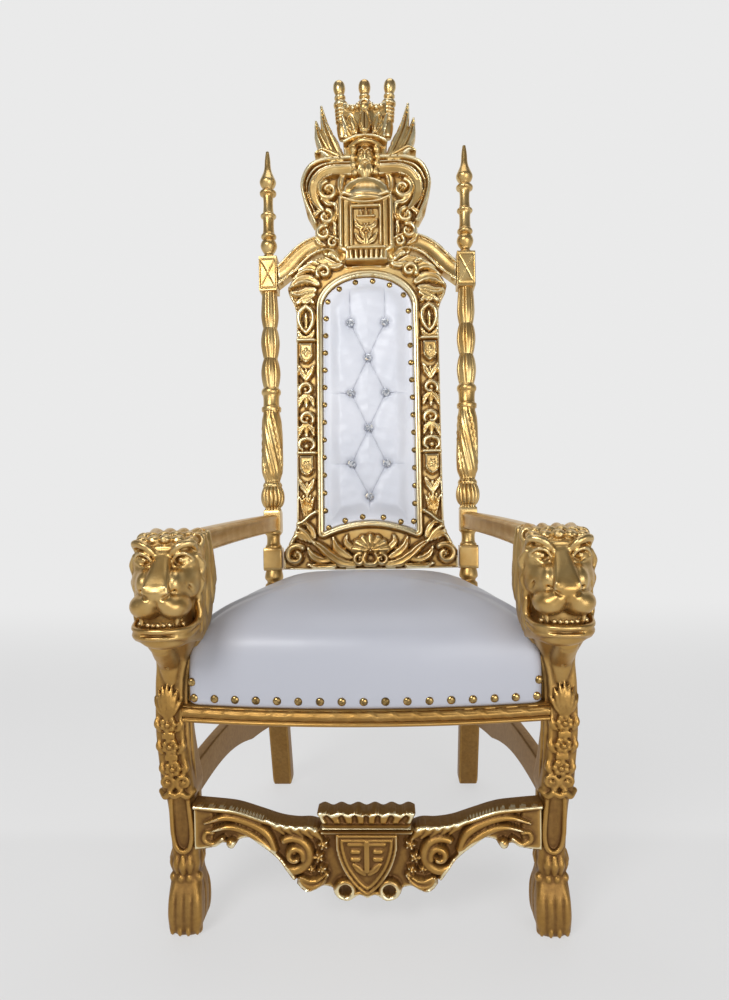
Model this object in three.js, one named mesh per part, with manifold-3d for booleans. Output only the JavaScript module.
// A carved and gilded throne: two front legs that end in lion heads, a tall back between turned
// posts, a carved crest with a crown, and a domed seat and a tufted back panel in white vinyl.
// Millimetres, +Z up, +X to the right of someone who faces the throne, the front towards -Y.
import * as THREE from "three";
import { mergeVertices } from "three/addons/utils/BufferGeometryUtils.js";
import Module from "manifold-3d";

const wasm = await Module();
wasm.setup();

// Joints: neighbouring pieces keep this gap, so that each stays a solid of its own.
const JOINT_GAP = 0.4;
const CUSHION_GAP = 1.5;

// Plan: where the front legs and the back posts stand.
const FRONT_LEG_Y = -256;
const FRONT_LEG_X = 315;
const KNEE_OUT = 17;
const REAR_FOOT_X = 238;
const REAR_FOOT_Y = 346;
const POST_X = 238;
const POST_Y = 256;

// The back: everything above the datum leans back about a line across the posts.
const BACK_DATUM_Z = 560;
const BACK_LEAN = THREE.MathUtils.degToRad(6.2);
const POST_SPREAD = THREE.MathUtils.degToRad(0.8);
const BACK_HEIGHT = 1262;

// Back posts.
const POST_BLOCK = 45;
const LOWER_BLOCK_HEIGHT = 56;
const UPPER_BLOCK_BASE = 700;
const UPPER_BLOCK_HEIGHT = 90;
const ARM_BLOCK_BASE = 92;
const ARM_BLOCK_HEIGHT = 56;
const REAR_LEG_SIZE = 48;
const ARM_BLOCK_TOP = ARM_BLOCK_BASE + ARM_BLOCK_HEIGHT;
const DRUM_BASE = 396;
const DRUM_HEIGHT = 60;

// Seat.
const RAIL_BASE_Z = 371;
const RAIL_HEIGHT = 28;
const RAIL_THICKNESS = 34;
const RAIL_PROUD = 40;
const RAIL_BOW = 30;
const SEAT_TOP_Z = 594;
const SEAT_EDGE_Z = 500;

// Stretchers.
const STRETCHER_Y = -274;
const STRETCHER_THICKNESS = 26;
const SIDE_STRETCHER_THICKNESS = 22;

// Arms and lion heads.
const ARM_TOP_Z = 698;
const ARM_HEIGHT = 41;
const ARM_WIDTH = 34;
const ARM_BOW = 8;
const HEAD_X = 313;
const HEAD_Y = -290;
const MUZZLE_Y = -415;

// The panel in the back.
const PANEL_HALF = 114;
const PANEL_BASE = 92;
const PANEL_SPRING = 652;
const PANEL_RISE = 82;
const PANEL_SILL_RISE = 26;
const MOULDING = 15;
const FRAME_THICKNESS = 24;
const BUTTON_RADIUS = 10;
const ARCH_TOP = PANEL_SPRING + PANEL_RISE;

// The crest is drawn between these heights, and fitted between the arch and the full height.
const CREST_DRAWN = { base: 766, top: 1262 };
const CREST_BASE = ARCH_TOP + 32;

const GILT = { color: 0xc9a04c, roughness: 0.34, metalness: 0.85 };
const VINYL = { color: 0xdcdde4, roughness: 0.45, metalness: 0 };
const CRYSTAL = { color: 0xc4c8d2, roughness: 0.2, metalness: 0.3 };

const V = (x, y, z) => new THREE.Vector3(x, y, z);
const mix = (a, b, t) => a + (b - a) * t;

// Turns points and faces into a closed solid, with its faces pointing out.
function solidFrom(points, faces) {
  const xyz = new Float32Array(points.flatMap((p) => [p.x, p.y, p.z]));
  const volume = faces.reduce((sum, [a, b, c]) => {
    return sum + points[a].dot(V(0, 0, 0).crossVectors(points[b], points[c]));
  }, 0);
  const turned = volume < 0 ? faces.map(([a, b, c]) => [a, c, b]) : faces;
  const mesh = new wasm.Mesh({
    numProp: 3,
    vertProperties: xyz,
    triVerts: new Uint32Array(turned.flat()),
  });
  return new wasm.Manifold(mesh);
}

function solidOf(geometry) {
  const bare = geometry.clone();
  bare.deleteAttribute("normal");
  bare.deleteAttribute("uv");
  const merged = mergeVertices(bare, 1e-3);
  return new wasm.Manifold(
    new wasm.Mesh({
      numProp: 3,
      vertProperties: merged.attributes.position.array,
      triVerts: new Uint32Array(merged.index.array),
    }),
  );
}

function geometryOf(solid) {
  const mesh = solid.getMesh();
  const xyz = new Float32Array(mesh.numVert * 3);
  for (let i = 0; i < mesh.numVert; i++) {
    xyz.set(mesh.vertProperties.subarray(i * mesh.numProp, i * mesh.numProp + 3), i * 3);
  }
  const geometry = new THREE.BufferGeometry();
  geometry.setAttribute("position", new THREE.BufferAttribute(xyz, 3));
  geometry.setIndex(new THREE.BufferAttribute(new Uint32Array(mesh.triVerts), 1));
  const faceted = geometry.toNonIndexed();
  faceted.computeVertexNormals();
  return faceted;
}

const fuse = (solids) => solids.reduce((whole, next) => whole.add(next));

// The same solid on the other side of the throne, or moved by a matrix.
function moved(solid, matrix) {
  const geometry = geometryOf(solid).applyMatrix4(matrix);
  if (matrix.determinant() < 0) {
    const p = geometry.attributes.position;
    for (let i = 0; i < p.count; i += 3) {
      const [b, c] = [i + 1, i + 2].map((k) => V(p.getX(k), p.getY(k), p.getZ(k)));
      p.setXYZ(i + 1, c.x, c.y, c.z);
      p.setXYZ(i + 2, b.x, b.y, b.z);
    }
  }
  return solidOf(geometry);
}
const mirrored = (solid) => moved(solid, new THREE.Matrix4().makeScale(-1, 1, 1));
const withMirror = (solid) => solid.add(mirrored(solid));

// A solid through a row of rings that all have the same number of points.
function loft(rings) {
  const n = rings[0].length;
  const points = rings.flat();
  const faces = [];
  for (let k = 0; k < rings.length - 1; k++) {
    for (let i = 0; i < n; i++) {
      const a = k * n + i;
      const b = k * n + ((i + 1) % n);
      faces.push([a, b, b + n], [a, b + n, a + n]);
    }
  }
  for (const [ring, start, outward] of [
    [rings[0], 0, false],
    [rings.at(-1), (rings.length - 1) * n, true],
  ]) {
    const middle = ring.reduce((s, p) => s.add(p), V(0, 0, 0)).divideScalar(n);
    const centre = points.push(middle) - 1;
    for (let i = 0; i < n; i++) {
      const [a, b] = [start + i, start + ((i + 1) % n)];
      faces.push(outward ? [a, b, centre] : [b, a, centre]);
    }
  }
  return solidFrom(points, faces);
}

// A level ring: a rectangle with its corners cut.
function cutRing({ x, y, z, w, d }, grow = 0) {
  const [a, b] = [w + grow, d + grow];
  const c = Math.min(w, d) * 0.3;
  const corners = [
    [a, b - c], [a - c, b], [c - a, b], [-a, b - c],
    [-a, c - b], [c - a, -b], [a - c, -b], [a, c - b],
  ];
  return corners.map(([u, v]) => V(x + u, y + v, z));
}

// A turned body about Z. Rows are [radius, height, flute depth]; fluted rows pull in every second
// point, and the twist turns the body as it rises.
function turned(rows, sides = 8, twist = 0) {
  const [low, high] = [rows[0][1], rows.at(-1)[1]];
  return loft(
    rows.map(([radius, height, flute = 0]) => {
      const turn = (twist * (height - low)) / (high - low);
      return Array.from({ length: sides }, (_, i) => {
        const angle = (i / sides) * 2 * Math.PI + turn;
        const r = radius * (1 - (i % 2) * flute);
        return V(r * Math.cos(angle), r * Math.sin(angle), height);
      });
    }),
  );
}

function block(cx, cy, cz, sx, sy, sz) {
  return solidOf(new THREE.BoxGeometry(sx, sy, sz).translate(cx, cy, cz));
}

// A raised knob, cut coarser the smaller it is.
function boss(cx, cy, cz, rx, ry, rz, around = 6, down = 4) {
  const ball = new THREE.SphereGeometry(1, around, down).rotateX(Math.PI / 2);
  return solidOf(ball.scale(rx, ry, rz).translate(cx, cy, cz));
}

// A flat board cut to an outline in x and z, from one depth to another.
function board(outline, front, back) {
  const shape = new THREE.Shape(outline.map(([x, z]) => new THREE.Vector2(x, z)));
  const options = { depth: back - front, bevelEnabled: false, steps: 1 };
  const geometry = new THREE.ExtrudeGeometry(shape, options);
  return solidOf(geometry.rotateX(Math.PI / 2).translate(0, back, 0));
}
const bothHalves = (half) => [...half, ...half.map(([x, z]) => [-x, z]).reverse()];

function smooth(points, count) {
  const curve = new THREE.CatmullRomCurve3(points.map(([x, z]) => V(x, 0, z)), false, "centripetal");
  return curve.getSpacedPoints(count).map((p) => [p.x, p.z]);
}

// A spiral in x and z: the radius goes from r0 to r1 as the angle goes from a0 to a1, in degrees.
function spiral(cx, cz, r0, r1, a0, a1, count) {
  return Array.from({ length: count + 1 }, (_, i) => {
    const t = i / count;
    const angle = THREE.MathUtils.degToRad(mix(a0, a1, t));
    const r = mix(r0, r1, t);
    return [cx + r * Math.cos(angle), cz + r * Math.sin(angle)];
  });
}

// Sweeps a section of [across, depth] points along a path in x and z. Across is in units of the
// half width, which at t along the path is width(t).
function sweep(path, width, section) {
  const last = path.length - 1;
  return loft(
    path.map(([x, z], i) => {
      const [x0, z0] = path[Math.max(i - 1, 0)];
      const [x1, z1] = path[Math.min(i + 1, last)];
      const long = Math.hypot(x1 - x0, z1 - z0);
      const [nx, nz] = [-(z1 - z0) / long, (x1 - x0) / long];
      const w = width(i / last);
      return section.map(([across, y]) => V(x + nx * w * across, y, z + nz * w * across));
    }),
  );
}

// A raised band with a flat top; a ridge has a sharp one, and a leaf is a ridge that tapers.
const band = (path, width, front, back) => {
  return sweep(path, width, [[-1, back], [-0.5, front], [0.5, front], [1, back]]);
};
const ridge = (path, width, front, back) => {
  return sweep(path, width, [[-1, back], [0, front], [1, back]]);
};
const leafWidth = (widest) => (t) => 0.8 + widest * Math.sin(Math.PI * Math.min(0.12 + 0.88 * t, 1)) ** 0.8;
const leaf = (path, widest, front, back) => ridge(path, leafWidth(widest), front, back);
const tapering = (from, to) => (t) => mix(from, to, t);

// Front leg.
const LEG_LEVELS = [
  { z: 0, out: -1, y: -2, w: 18, d: 32 },
  { z: 14, out: -1, y: -3, w: 27, d: 38 },
  { z: 60, out: -1, y: -3, w: 29, d: 38 },
  { z: 100, out: 0, y: 1, w: 22, d: 27 },
  { z: 118, out: 0, y: 1, w: 25, d: 30 },
  { z: 236, out: 6, y: 1, w: 24, d: 33 },
  { z: 246, out: 7, y: 1, w: 28, d: 38 },
  { z: 330, out: KNEE_OUT + 1, y: 0, w: 26, d: 38 },
  { z: 430, out: KNEE_OUT + 1, y: 0, w: 25, d: 38 },
  { z: 476, out: KNEE_OUT - 5, y: -4, w: 27, d: 40 },
  { z: 505, out: KNEE_OUT - 12, y: -24, w: 36, d: 52 },
  { z: 540, out: KNEE_OUT - 18, y: -56, w: 45, d: 72 },
];

function legColumn(grow = 0) {
  return loft(
    LEG_LEVELS.map(({ z, out, y, w, d }) => {
      return cutRing({ x: -FRONT_LEG_X - out, y: FRONT_LEG_Y + y, z, w, d }, grow);
    }),
  );
}

// Four toes in front of the paw.
function paw() {
  const toes = [-1.5, -0.5, 0.5, 1.5].map((step) => {
    const front = 30 - 5 * Math.abs(step);
    return boss(-FRONT_LEG_X + step * 14, FRONT_LEG_Y - front, 40, 8.6, 16, 38, 4, 3);
  });
  return fuse(toes);
}

// A raised border in the shape of a U down the shin.
function shinPanel() {
  const [half, top, base] = [14, 232, 142];
  const path = [[-half, top], ...spiral(0, base + half, half, half, 180, 360, 4), [half, top]];
  const placed = path.map(([x, z]) => [x - FRONT_LEG_X - mix(0, 5, (z - base) / (top - base)), z]);
  return ridge(placed, () => 5, FRONT_LEG_Y - 38, FRONT_LEG_Y - 22);
}

// A flower with petals, as a boss with a scalloped edge that faces the front.
function flower(x, y, z, r, petals = 4) {
  const ring = (scale, depth) =>
    Array.from({ length: petals * 2 }, (_, i) => {
      const angle = (i / petals) * Math.PI + Math.PI / 2;
      const reach = r * scale * (i % 2 ? 0.6 : 1);
      return V(x + reach * Math.cos(angle), y + depth, z + reach * Math.sin(angle));
    });
  return loft([ring(1, 6), ring(0.4, -7)]);
}

// The garland of flowers down the knee, the leaves over it and the bib under the lion's chin.
function kneeCarving() {
  const face = FRONT_LEG_Y - 38;
  const centre = (z) => -FRONT_LEG_X - mix(9, KNEE_OUT + 2, Math.min((z - 262) / 90, 1));
  const flowers = [374, 333, 294].map((z) => flower(centre(z), face, z, 15));
  const leaves = [-1, 0, 1].map((step) => {
    const root = centre(390) + step * 4;
    return leaf([[root, 386], [root + step * 5, 412], [root + step * 9, 438]], 6, face - 7, face + 6);
  });
  const bibPath = [[centre(430), 492], [centre(430), 466], [centre(430), 428]];
  const bib = band(bibPath, (t) => [22, 19, 5][Math.round(t * 2)], face - 7, face + 8);
  const volutes = [-1, 1].map((side) => {
    const turn = side > 0 ? [200, -60] : [-20, 240];
    const path = spiral(centre(262) + side * 12, 266, 11, 5, ...turn, 3);
    return ridge(path, tapering(4.5, 3), face - 5, face + 10);
  });
  return fuse([...flowers, ...leaves, bib, ...volutes]);
}

// Lion head. Rings of the skull and mane stand upright, from the back of the mane to the brow.
const SKULL_RINGS = [
  { y: 62, w: 34, low: 596, high: 690 },
  { y: 36, w: 57, low: 552, high: 695 },
  { y: -4, w: 58, low: 514, high: 697 },
  { y: -46, w: 49, low: 548, high: 694 },
  { y: -76, w: 37, low: 584, high: 674 },
];

function skull() {
  return loft(
    SKULL_RINGS.map(({ y, w, low, high }) => {
      return upright(-HEAD_X, HEAD_Y + y, (low + high) / 2, w, (high - low) / 2);
    }),
  );
}

function upright(x, y, z, w, h) {
  const lying = cutRing({ x: 0, y: 0, z: 0, w, d: h });
  return lying.map((p) => V(x + p.x, y, z + p.y));
}

function face() {
  const x = -HEAD_X;
  const tip = MUZZLE_Y;
  const bridge = loft([
    upright(x, tip + 66, 655, 18, 20),
    upright(x, tip + 26, 634, 14, 19),
    upright(x, tip, 613, 20, 9),
  ]);
  const pads = [-1, 1].map((side) => boss(x + side * 24, tip + 30, 590, 26, 29, 19, 6, 3));
  const cheeks = [-1, 1].map((side) => boss(x + side * 36, tip + 68, 612, 18, 26, 28, 4, 3));
  const jaw = loft([
    upright(x, tip + 96, 536, 50, 20),
    upright(x, tip + 44, 542, 48, 13),
    upright(x, tip + 16, 546, 34, 9),
  ]);
  const palate = loft([upright(x, tip + 96, 562, 38, 20), upright(x, tip + 34, 562, 30, 18)]);
  const eyes = [-1, 1].map((side) => boss(x + side * 29, tip + 47, 660, 11, 9, 8, 4, 3));
  const brows = [-1, 1].map((side) => {
    const path = [[x + side * 10, 666], [x + side * 28, 677], [x + side * 46, 667]];
    return ridge(path, () => 6, tip + 37, tip + 64);
  });
  return fuse([bridge, ...pads, ...cheeks, jaw, palate, ...eyes, ...brows]);
}

// Locks of the mane: swept back on the sides, and short curls along the top.
function mane() {
  const locks = [0, 1, 2].flatMap((row) => {
    return [-1, 1].map((side) => {
      const top = 670 - row * 44;
      const path = [[-38, top, 4, 2], [-4, top - 12, 18, 10], [44 - row * 4, top - 28, 6, 2]];
      return loft(
        path.map(([y, z, half, bulge]) => {
          return [[-half, -8], [0, bulge], [half, -8]].map(([v, u]) => {
            return V(-HEAD_X + side * (53 + u), HEAD_Y + y, z + v);
          });
        }),
      );
    });
  });
  const curls = [-2, -1, 0, 1, 2].map((step) => {
    return boss(-HEAD_X + step * 17, HEAD_Y - 56 + 5 * Math.abs(step), 687, 11, 15, 11, 4, 2);
  });
  return fuse([...locks, ...curls]);
}

// Arm: its top is level, and it spreads and bows out towards the front.
const ARM_REAR = { x: POST_X + 1.5, y: 262 };
const ARM_FRONT = { x: 284, y: HEAD_Y + 34 };
function arm(grow = 0) {
  const rings = Array.from({ length: 5 }, (_, i) => {
    const t = i / 4;
    const out = ARM_BOW * Math.sin(Math.PI * t);
    const x = -mix(ARM_REAR.x, ARM_FRONT.x, t) - out;
    const y = mix(ARM_REAR.y, ARM_FRONT.y - grow, t);
    return upright(x, y, ARM_TOP_Z - ARM_HEIGHT / 2, ARM_WIDTH / 2 + grow, ARM_HEIGHT / 2 + grow);
  });
  return loft(rings);
}

// Places a solid of the back, drawn upright about a post's axis, where the post stands.
function onPost(solid, side) {
  const tilt = new THREE.Matrix4()
    .makeTranslation(side * POST_X, POST_Y, BACK_DATUM_Z)
    .multiply(new THREE.Matrix4().makeRotationX(-BACK_LEAN))
    .multiply(new THREE.Matrix4().makeRotationY(side * POST_SPREAD));
  return moved(solid, tilt);
}

const REAR_LEG_LEVELS = [
  { z: 0, y: REAR_FOOT_Y },
  { z: 70, y: REAR_FOOT_Y - 22 },
  { z: 160, y: REAR_FOOT_Y - 52 },
  { z: 260, y: REAR_FOOT_Y - 79 },
  { z: 370, y: POST_Y - 4 },
  { z: 510, y: POST_Y - 5 },
];

function rearLeg(side, grow = 0) {
  const half = REAR_LEG_SIZE / 2;
  return loft(
    REAR_LEG_LEVELS.map(({ z, y }, i) => {
      const x = side * (i === 0 ? REAR_FOOT_X : mix(REAR_FOOT_X, POST_X, i / 5));
      return cutRing({ x, y, z, w: half - (i === 0 ? 2 : 0), d: half - (i === 0 ? 2 : 0) }, grow);
    }),
  );
}

function postTurnings() {
  const foot = turned([[21, -62], [21, -34], [17, -28], [22, -16], [19, 2]], 6);
  const neck = turned([[17.5, LOWER_BLOCK_HEIGHT - 6], [17.5, ARM_BLOCK_BASE + 12]], 6);
  const above = ARM_BLOCK_TOP;
  const bulb = turned([[19, above - 4], [27, above + 20, 0.12], [27, above + 42, 0.12], [19, above + 64]], 8);
  const drumTop = DRUM_BASE + DRUM_HEIGHT;
  const shaft = turned(
    [[20, above + 58], [24, above + 96, 0.14], [23.5, DRUM_BASE - 26, 0.16], [21, DRUM_BASE + 6]],
    8,
    0.7,
  );
  const drum = turned([[24, DRUM_BASE], [21.5, DRUM_BASE + 12], [23, drumTop - 4], [18, drumTop]], 6);
  const petals = turned(
    [
      [18, 0], [23, 0.16, 0.16], [17, 0.31], [22, 0.51, 0.16], [17.5, 0.62], [21, 0.72, 0.15], [18, 1],
    ].map(([r, share, flute = 0]) => [r, mix(drumTop - 4, UPPER_BLOCK_BASE + 4, share), flute]),
  );
  return [foot, neck, bulb, shaft, drum, petals];
}

// The finial above the upper block.
function finial() {
  const base = UPPER_BLOCK_BASE + UPPER_BLOCK_HEIGHT;
  const rows = [
    [20, -6], [12, 12], [21, 34], [14, 52], [19, 60], [13.5, 67], [13.5, 109], [18.5, 114],
    [12.8, 120], [12.8, 168], [20, 175], [11, 184], [20, 203], [10, 230], [3, 286],
  ];
  return turned(rows.map(([r, h]) => [r, base + h]), 6);
}

function postBlocks(grow = 0) {
  const size = POST_BLOCK + 2 * grow;
  const lower = block(0, 0, LOWER_BLOCK_HEIGHT / 2, size, size, LOWER_BLOCK_HEIGHT + 2 * grow);
  const middle = UPPER_BLOCK_BASE + UPPER_BLOCK_HEIGHT / 2;
  const upper = block(0, 0, middle, size + 1, size + 1, UPPER_BLOCK_HEIGHT + 2 * grow);
  const armSize = 41 + 2 * grow;
  const atArm = ARM_BLOCK_BASE + ARM_BLOCK_HEIGHT / 2;
  return [lower, upper, block(0, 0, atArm, armSize, armSize, ARM_BLOCK_HEIGHT + 2 * grow)];
}

// A saltire framed by a border, sunk into the face of each upper block.
function blockPanel() {
  const middle = UPPER_BLOCK_BASE + UPPER_BLOCK_HEIGHT / 2;
  const [half, tall] = [18, 36];
  const face = -POST_BLOCK / 2 - 0.5;
  const sunk = block(0, face, middle, half * 2, 5, tall * 2);
  const cross = [-1, 1].map((side) => {
    return band([[-half * side, middle - tall], [half * side, middle + tall]], () => 2, face - 0.5, face + 4);
  });
  return sunk.subtract(fuse(cross));
}

function backPost(side) {
  const upper = fuse([...postTurnings(), ...postBlocks(), finial()]).subtract(blockPanel());
  return onPost(upper, side).add(rearLeg(side));
}

// Seat rails. The front rail bows forward between the legs.
const RAIL_FRONT_Y = FRONT_LEG_Y - RAIL_PROUD;
const bowAt = (x, half) => -RAIL_BOW * (1 - (x / half) ** 2);
const INNER_LEG_X = FRONT_LEG_X + KNEE_OUT - 27;

function frontRail() {
  const half = INNER_LEG_X + 4;
  const top = RAIL_BASE_Z + RAIL_HEIGHT;
  const rings = Array.from({ length: 9 }, (_, i) => {
    const x = mix(-half, half, i / 8);
    const y = RAIL_FRONT_Y + bowAt(x, half);
    const section = [
      [0, 0], [-4, 3], [-4, 7], [1, 9], [-3, 14], [-3, 21], [2, 26], [2, RAIL_HEIGHT], [RAIL_THICKNESS, RAIL_HEIGHT],
      [RAIL_THICKNESS, 0],
    ];
    return section.map(([dy, dz]) => V(x, y + dy, top - RAIL_HEIGHT + dz));
  });
  return loft(rings).subtract(withMirror(legColumn(JOINT_GAP)));
}

function sideRail() {
  const start = { x: -FRONT_LEG_X - 2, y: FRONT_LEG_Y + 10 };
  const end = { x: -POST_X - 2, y: POST_Y };
  const rings = [start, end].map(({ x, y }) => {
    return upright(x, y, RAIL_BASE_Z + RAIL_HEIGHT / 2, RAIL_THICKNESS / 2, RAIL_HEIGHT / 2);
  });
  return loft(rings).subtract(legColumn(JOINT_GAP)).subtract(rearLeg(-1, JOINT_GAP));
}

function rearRail() {
  const bar = block(0, POST_Y - 4, RAIL_BASE_Z + RAIL_HEIGHT / 2, 2 * POST_X, RAIL_THICKNESS, RAIL_HEIGHT);
  return bar.subtract(rearLeg(-1, JOINT_GAP)).subtract(rearLeg(1, JOINT_GAP));
}

// Side stretcher: an arched board from the front leg to the rear leg.
function sideStretcher() {
  const half = SIDE_STRETCHER_THICKNESS / 2;
  const [yFront, yRear] = [FRONT_LEG_Y + 10, REAR_FOOT_Y - 62];
  const rings = Array.from({ length: 7 }, (_, i) => {
    const t = i / 6;
    const x = -mix(FRONT_LEG_X, POST_X + 13, t);
    const low = 214 + 18 * Math.sin(Math.PI * Math.min(t * 1.6, 1)) - 44 * t ** 3;
    const high = 276 + 18 * Math.sin(Math.PI * t) - 36 * t ** 3;
    return [[half, low], [half, high], [-half, high], [-half, low]].map(([u, z]) => {
      return V(x + u, mix(yFront, yRear, t), z);
    });
  });
  return loft(rings).subtract(legColumn(JOINT_GAP)).subtract(rearLeg(-1, JOINT_GAP));
}

// Front stretcher: scrolling leaves each side of a crowned shield.
const STRETCHER_HALF = [
  [0, 67], [16, 73], [32, 65], [48, 69], [58, 85], [78, 85], [92, 75], [108, 81], [122, 99], [152, 139],
  [182, 161], [206, 167], [220, 165], [228, 153], [238, 153], [246, 163], [262, 153], [297, 147],
  [297, 231], [262, 227], [222, 223], [180, 209], [146, 197], [130, 198], [114, 192], [94, 196], [74, 183],
  [74, 197], [86, 219], [58, 214], [30, 219], [0, 214],
];

function frontStretcher() {
  const [front, back] = [STRETCHER_Y - STRETCHER_THICKNESS / 2, STRETCHER_Y + STRETCHER_THICKNESS / 2];
  const body = board(bothHalves(STRETCHER_HALF.slice(1, -1)).concat([[0, 67]]), front, back);
  const relief = front - 9;
  const inside = front + 4;
  const side = [
    ridge(spiral(130, 147, 33, 12, 140, -200, 5), tapering(9, 6), relief, inside),
    band([[266, 192], [228, 207], [194, 198], [160, 177]], tapering(6, 5), relief, inside),
    band([[240, 171], [204, 185], [170, 163], [112, 92]], tapering(5, 8), relief, inside),
    boss(130, front, 147, 12, 12, 12),
    ...[0, 26, 52].map((k) => leaf([[84 + k, 175], [100 + k, 185], [112 + k, 199]], 10, relief, inside)),
  ];
  const shieldHalf = [[20, 87], [42, 119], [53, 153], [54, 181]];
  const shield = board(bothHalves(shieldHalf).concat([[0, 69]]), front - 10, inside);
  const insetHalf = [[14, 97], [31, 123], [41, 155], [42, 169]];
  const inset = board(bothHalves(insetHalf).concat([[0, 83]]), front - 20, front - 4);
  const cross = fuse([block(0, front - 4, 131, 8, 10, 70), block(0, front - 4, 145, 58, 10, 8)]);
  const sill = block(0, front - 4, 187, 148, 20, 11);
  const merlons = [-2, -1, 0, 1, 2].map((k) => {
    return block(k * 29, front - 2, 204, 18, 12, 22);
  });
  const holes = [-1, 1].map((s) => block(s * 37, STRETCHER_Y, 81, 15, 60, 9));
  return fuse([body, withMirror(fuse(side)), shield.subtract(inset), cross, sill, ...merlons])
    .subtract(fuse(holes))
    .subtract(withMirror(legColumn(JOINT_GAP)));
}

// The back frame and the crest are drawn in the leaning plane of the back: x across, z up from
// the datum, y through the thickness.
function panelOutline(grow, steps = 8) {
  const half = PANEL_HALF + grow;
  const side = Array.from({ length: steps + 1 }, (_, i) => {
    const angle = (i / steps) * (Math.PI / 2);
    return [half * Math.cos(angle), PANEL_SPRING + (PANEL_RISE + grow) * Math.sin(angle)];
  });
  const sill = [0, 1, 2, 3].map((i) => {
    const x = (half * i) / 3;
    return [x, PANEL_BASE - grow + PANEL_SILL_RISE * (1 - (x / half) ** 2)];
  });
  const right = [...sill.slice(1), ...side.slice(0, -1)];
  const left = right.map(([x, z]) => [-x, z]).reverse();
  return [sill[0], ...right, [0, PANEL_SPRING + PANEL_RISE + grow], ...left];
}

// The line that parts the crest rail from the frame under it.
const PARTING_HALF = [
  [0, CREST_BASE - 2], [48, CREST_BASE - 4], [76, CREST_BASE + 8], [104, CREST_BASE + 24],
  [128, CREST_BASE + 18], [146, CREST_BASE + 7], [170, UPPER_BLOCK_BASE + 54],
  [198, UPPER_BLOCK_BASE + 33], [230, UPPER_BLOCK_BASE + 8],
];

const FRAME_FOOT = [[212, 2], [212, 44], [200, 62], [188, 84], [180, 110]];
const FRAME_SHOULDER = [[178, -60], [184, -32], [197, -8], [200, 6], [190, 22]];
const FRAME_HALF = [...FRAME_FOOT, ...FRAME_SHOULDER.map(([x, z]) => [x, UPPER_BLOCK_BASE + z])];

// Carving on the stiles of the frame: scrolls, leaves, straps and small shields.
function openwork() {
  const front = -FRAME_THICKNESS / 2;
  const relief = front - 8;
  const inside = front + 3;
  const shoulder = UPPER_BLOCK_BASE;
  const x = 155;
  const scrolls = [[318, 1], [398, -1], [478, 1], [640, -1]].map(([z, turn]) => {
    return ridge(spiral(x, z, 18, 10, 90, 90 + turn * 240, 3), tapering(7, 5), relief, inside);
  });
  const leaves = [-1, 1].map((s) => {
    return leaf([[x + s * 2, 170], [x + s * 12, 218], [x + s * 8, 266]], 8, relief, inside);
  });
  const shields = [[232, 280], [514, 564]].map(([low, high]) => {
    return board([[x - 17, high], [x - 17, low + 16], [x, low - 6], [x + 17, low + 16], [x + 17, high]], relief, inside);
  });
  const straps = [284, 568].map((z) => block(x, front - 3, z, 44, 14, 7));
  return fuse([
    ...scrolls, ...leaves, ...shields, ...straps,
    ridge(spiral(182, 34, 24, 10, 120, -200, 5), tapering(7, 5), relief - 2, inside),
    leaf([[140, 62], [164, 88], [190, 74], [206, 50]], 9, relief, inside),
    ridge(spiral(112, ARCH_TOP + 8, 19, 9, 0, 280, 4), tapering(7, 5), relief, inside),
    leaf([[136, shoulder + 6], [162, shoulder + 16], [192, shoulder + 2]], 12, relief, inside),
  ]);
}

// The shell and scrolls on the bottom rail of the frame.
function bottomCarving() {
  const front = -FRAME_THICKNESS / 2;
  const relief = front - 10;
  const inside = front + 3;
  const ribs = [-1, 0, 1].map((k) => {
    const angle = THREE.MathUtils.degToRad(90 + k * 48);
    const [c, s] = [Math.cos(angle), Math.sin(angle)];
    return leaf([[8 * c, 44 + 8 * s], [26 * c, 44 + 24 * s], [46 * c, 44 + 42 * s]], 15, relief, inside);
  });
  const curl = ridge(spiral(36, 30, 15, 8, 250, -50, 4), tapering(6, 5), relief, inside);
  const branch = band([[44, 8], [76, 18], [104, 44], [140, 62]], tapering(6, 9), relief, inside);
  const tip = leaf([[60, 70], [82, 56], [96, 32]], 9, relief, inside);
  return fuse([...ribs, withMirror(fuse([curl, branch, tip]))]);
}

function backFrame() {
  const [front, back] = [-FRAME_THICKNESS / 2, FRAME_THICKNESS / 2];
  const top = PARTING_HALF.filter(([x]) => x < 190).map(([x, z]) => [x, z - JOINT_GAP]).reverse();
  const half = [[60, 0], ...FRAME_HALF, ...top.slice(0, -1)];
  const mid = [0, PARTING_HALF[0][1] - JOINT_GAP];
  const left = half.map(([x, z]) => [-x, z]).reverse();
  const plate = board([...half, mid, ...left], front, back);
  const outer = panelOutline(MOULDING);
  const rim = board(outer, front - 10, back);
  const carved = fuse([plate, rim, withMirror(openwork()), bottomCarving()]);
  const reach = POST_X - POST_BLOCK / 2 - JOINT_GAP;
  const line = PARTING_HALF.map(([x, z]) => [x, z - JOINT_GAP]);
  const region = [[reach, -4], [reach, UPPER_BLOCK_BASE + 4], ...line.slice(1, -1).reverse()];
  const kept = board([...region, [0, line[0][1]], ...region.map(([x, z]) => [-x, z]).reverse()], -60, 60);
  return carved.intersect(kept).subtract(board(panelOutline(0), -80, 80));
}

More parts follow.
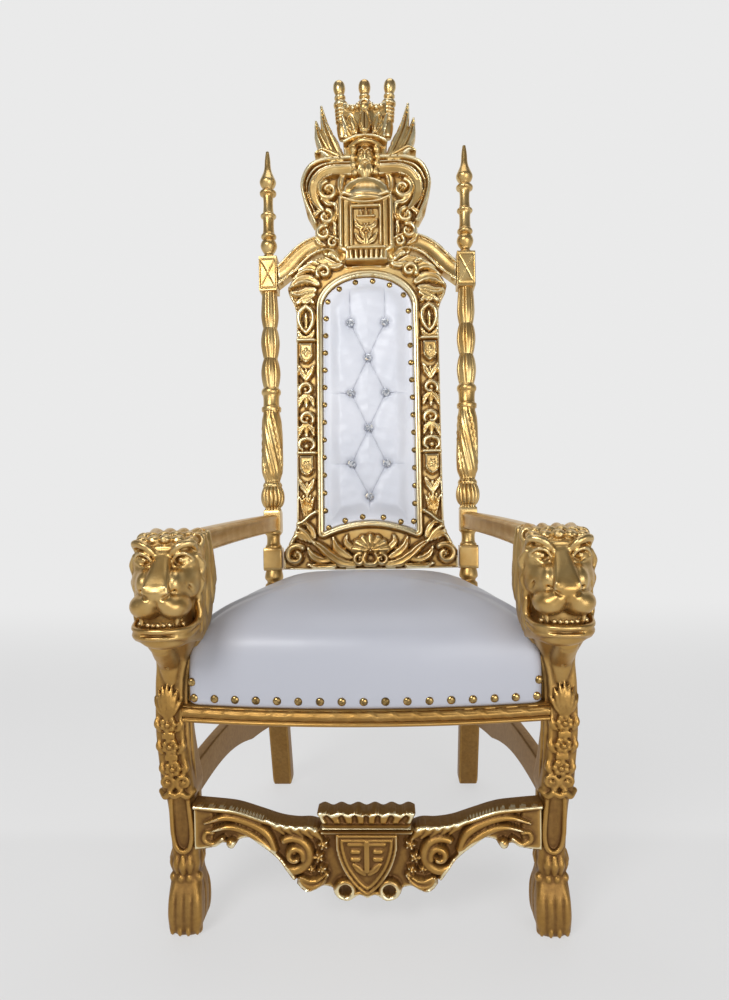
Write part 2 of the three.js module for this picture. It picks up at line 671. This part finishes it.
// The crest rail: a moulding that sweeps up from each post block and scrolls under the crest.
function railSweep() {
  const ends = [[234, 40], [198, 62], [170, 84]].map(([x, z]) => [x, UPPER_BLOCK_BASE + z]);
  const scroll = [[146, 37], [118, 52], [92, 54], [68, 40], [58, 18], [72, 4]];
  const path = [...ends, ...scroll.map(([x, z]) => [x, CREST_BASE + z])];
  const moulding = [
    [-1, 16], [-1, -14], [-0.72, -22], [-0.5, -14], [0.5, -14], [0.72, -22], [1, -14], [1, 16],
  ];
  return sweep(smooth(path, 7), (t) => (t < 0.7 ? mix(25, 22, t) : mix(22, 11, (t - 0.7) / 0.3)), moulding);
}

// The big volutes each side of the crest, over two smaller pairs at its waist.
function crestSide() {
  const back = board(
    [
      [40, 766], [76, 776], [118, 800], [130, 850], [118, 868], [134, 870], [150, 900], [162, 950],
      [162, 995], [146, 1030], [110, 1044], [40, 1046],
    ],
    -14,
    14,
  );
  const path = smooth([[46, 1040], [100, 1040], [144, 1022], [164, 980], [156, 920], [134, 872]], 5);
  const rim = band(path, (t) => 6 + 7 * Math.sin(Math.PI * t), -30, 12);
  const inner = ridge(spiral(118, 964, 35, 12, 110, -210, 5), tapering(10, 7), -30, -8);
  const scrolls = [[104, 892, 1], [110, 842, -1]].map(([x, z, turn]) => {
    return ridge(spiral(x, z, 20, 11, 90, 90 + turn * 240, 3), tapering(9, 6), -28, -8);
  });
  return fuse([back, rim, inner, ...scrolls]);
}

// Feathers that stand up beside the crown.
function feathers() {
  const tall = leaf([[64, 1040], [86, 1092], [104, 1134], [112, 1182]], 12, -18, 8);
  const short = leaf([[80, 1044], [108, 1082], [122, 1110], [127, 1142]], 11, -22, 6);
  const low = leaf([[56, 1052], [88, 1066], [120, 1058]], 12, -26, 6);
  return fuse([tall, short, low]);
}

function crownSpike(lean, top, length) {
  const rows = [
    [9, -150], [13.5, -122], [13.5, -84], [9, -72], [13.5, -60], [8, -46], [12, -16], [2, 0],
  ].filter(([, h]) => h > -length);
  const place = new THREE.Matrix4()
    .makeTranslation(lean * 67, 0, top)
    .multiply(new THREE.Matrix4().makeRotationY(lean * 0.07));
  return moved(turned(rows, 6), place);
}

function crown() {
  const rings = [[54, 22, 1080], [56, 26, 1096], [52, 22, 1104], [62, 25, 1160], [60, 22, 1196]];
  const wall = loft(rings.map(([w, d, z]) => cutRing({ x: 0, y: 0, z, w, d })));
  const petals = [-1, 0, 1].map((k) => {
    const tall = k === 0 ? 60 : 46;
    return leaf([[k * 22, 1102], [k * 24, 1102 + tall * 0.6], [k * 26, 1102 + tall]], 12, -36, -14);
  });
  const notches = [-1, 1].map((s) => block(s * 33, 0, 1200, 24, 60, 24));
  const spikes = [-1, 0, 1].map((k) => crownSpike(k, CREST_DRAWN.top, k === 0 ? 80 : 160));
  return fuse([wall.subtract(fuse(notches)), ...petals, ...spikes, boss(0, -22, 1172, 13, 13, 13)]);
}

// The mask between the volutes, with its curled hair.
function mask() {
  const back = block(0, 0, 1024, 84, 30, 116);
  const head = boss(0, -20, 1034, 23, 24, 38, 6, 4);
  const nose = boss(0, -42, 1034, 5, 7, 11, 4, 2);
  const beard = boss(0, -25, 998, 15, 18, 22, 5, 3);
  const hair = [-1, 1].flatMap((s) => [0, 1].map((k) => boss(s * 33, -16, 1052 - k * 36, 15, 17, 20, 5, 3)));
  const cap = boss(0, -18, 1076, 42, 20, 12);
  return fuse([back, head, nose, beard, cap, ...hair]);
}

// The shrine under the mask: a hooded panel between pilasters.
function shrine() {
  const body = block(0, -1, 850, 138, 62, 168);
  const sunk = block(0, -32, 862, 74, 20, 104);
  const flutes = [-1, 1].map((s) => block(s * 53, -32, 856, 9, 14, 150));
  const dome = boss(0, -8, 932, 55, 42, 48, 8, 4).intersect(block(0, 0, 960, 200, 200, 56));
  const rim = block(0, -11, 928, 118, 62, 11);
  const stem = leaf([[0, 816], [0, 850], [0, 904]], 7, -31, -20);
  const sprays = [-1, 1].map((s) => leaf([[0, 834], [s * 20, 852], [s * 25, 882]], 9, -31, -20));
  const foot = block(0, -16, 780, 98, 40, 26);
  return fuse([body.subtract(fuse([sunk, ...flutes])), dome, rim, stem, ...sprays, foot]);
}

function crestRail() {
  const drawn = fuse([withMirror(fuse([crestSide(), feathers()])), crown(), mask(), shrine()]);
  const stretch = (BACK_HEIGHT - CREST_BASE) / (CREST_DRAWN.top - CREST_DRAWN.base);
  const fitted = new THREE.Matrix4()
    .makeTranslation(0, 0, CREST_BASE)
    .multiply(new THREE.Matrix4().makeScale(1, 1, stretch))
    .multiply(new THREE.Matrix4().makeTranslation(0, 0, -CREST_DRAWN.base));
  const whole = withMirror(railSweep()).add(moved(drawn, fitted));
  const reach = POST_X + 60;
  const line = [...PARTING_HALF.slice(0, -1), [reach, PARTING_HALF.at(-1)[1]]];
  const right = [...line.slice(1), [reach, BACK_HEIGHT + 60]];
  const kept = board([line[0], ...right, ...right.map(([x, z]) => [-x, z]).reverse()], -80, 80);
  const postAt = [-1, 1].map((side) => {
    const tilt = new THREE.Matrix4().makeTranslation(side * POST_X, 0, 0);
    tilt.multiply(new THREE.Matrix4().makeRotationY(side * POST_SPREAD));
    return moved(postBlocks(JOINT_GAP)[1], tilt);
  });
  const beyond = [-1, 1].map((s) => block(s * (POST_X + 60), 0, UPPER_BLOCK_BASE + 60, 120, 120, 300));
  return whole.intersect(kept).subtract(fuse([...postAt, ...beyond]));
}

// Upholstery.
function backCushion() {
  const flat = -CUSHION_GAP;
  const rows = [[flat, 11], [flat, -6], [-8, -13], [-26, -17]];
  return loft(rows.map(([grow, y]) => panelOutline(grow, 6).map(([x, z]) => V(x, y, z))));
}

// The buttons stand in staggered rows down the panel.
const BUTTON_ROWS = [[-1, 614], [1, 614], [0, 525], [-1, 436], [1, 436], [0, 348], [-1, 259], [1, 259], [0, 178]];
const BUTTON_STEP = 43;

function button() {
  return turned([[BUTTON_RADIUS, 0], [BUTTON_RADIUS - 3, 5.5]], 6);
}

const CUSHION_HALF = [
  [0, -325], [100, -322], [200, -312], [INNER_LEG_X - 6, -296], [INNER_LEG_X - 6, -214],
  [FRONT_LEG_X + 4, -214], [POST_X + 22, 222], [POST_X - 26, 222], [POST_X - 26, 250], [0, 250],
];

// The seat: rings of the plan that draw in and rise to the dome.
function seatCushion() {
  const base = RAIL_BASE_Z + RAIL_HEIGHT + JOINT_GAP;
  const right = CUSHION_HALF.slice(1, -1);
  const plan = [CUSHION_HALF[0], ...right, CUSHION_HALF.at(-1), ...right.map(([x, y]) => [-x, y]).reverse()];
  const middle = -40;
  const rows = [
    [1, base, 0], [1, 440, 0], [0.988, 476, 0], [0.955, SEAT_EDGE_Z, 0.1], [0.86, 540, 0.4],
    [0.62, 572, 0.75], [0.3, SEAT_TOP_Z - 10, 1],
  ];
  return loft(
    rows.map(([scale, z, rear]) => {
      return plan.map(([x, y]) => {
        const drop = y > middle ? rear * 8 * ((y - middle) / 290) : 0;
        return V(x * scale, middle + (y - middle) * scale, z - drop);
      });
    }),
  );
}

const throne = new THREE.Group();
const back = new THREE.Group();
back.position.set(0, POST_Y, BACK_DATUM_Z);
back.rotation.x = -BACK_LEAN;

function piece(name, solid, look, parent = throne) {
  const mesh = new THREE.Mesh(geometryOf(solid), new THREE.MeshStandardMaterial(look));
  mesh.name = name;
  parent.add(mesh);
  return mesh;
}

function frontLeg() {
  const carved = [legColumn(), paw(), shinPanel(), kneeCarving(), skull(), face(), mane()];
  return fuse(carved).subtract(arm(JOINT_GAP));
}

const leftLeg = frontLeg();
const leftArm = arm().subtract(onPost(postBlocks(JOINT_GAP)[2], -1));
const leftSideRail = sideRail();
const leftSideStretcher = sideStretcher();
piece("front_leg_left", leftLeg, GILT);
piece("front_leg_right", mirrored(leftLeg), GILT);
piece("arm_left", leftArm, GILT);
piece("arm_right", mirrored(leftArm), GILT);
piece("back_post_left", backPost(-1), GILT);
piece("back_post_right", backPost(1), GILT);
piece("seat_rail_front", frontRail(), GILT);
piece("seat_rail_left", leftSideRail, GILT);
piece("seat_rail_right", mirrored(leftSideRail), GILT);
piece("seat_rail_rear", rearRail(), GILT);
piece("side_stretcher_left", leftSideStretcher, GILT);
piece("side_stretcher_right", mirrored(leftSideStretcher), GILT);
piece("front_stretcher", frontStretcher(), GILT);
piece("back_frame", backFrame(), GILT, back);
piece("crest_rail", crestRail(), GILT, back);
piece("back_cushion", backCushion(), VINYL, back);
piece("seat_cushion", seatCushion(), VINYL);

BUTTON_ROWS.forEach(([column, z], i) => {
  const mesh = piece(`back_button_${i + 1}`, button(), CRYSTAL, back);
  mesh.position.set(column * BUTTON_STEP, -17 - JOINT_GAP, z);
  mesh.rotation.x = Math.PI / 2;
});
throne.add(back);

// The origin is under the middle of the throne, on the floor.
throne.updateMatrixWorld(true);
const bounds = new THREE.Box3().setFromObject(throne, true);
throne.position.y = -(bounds.min.y + bounds.max.y) / 2;

export default throne;
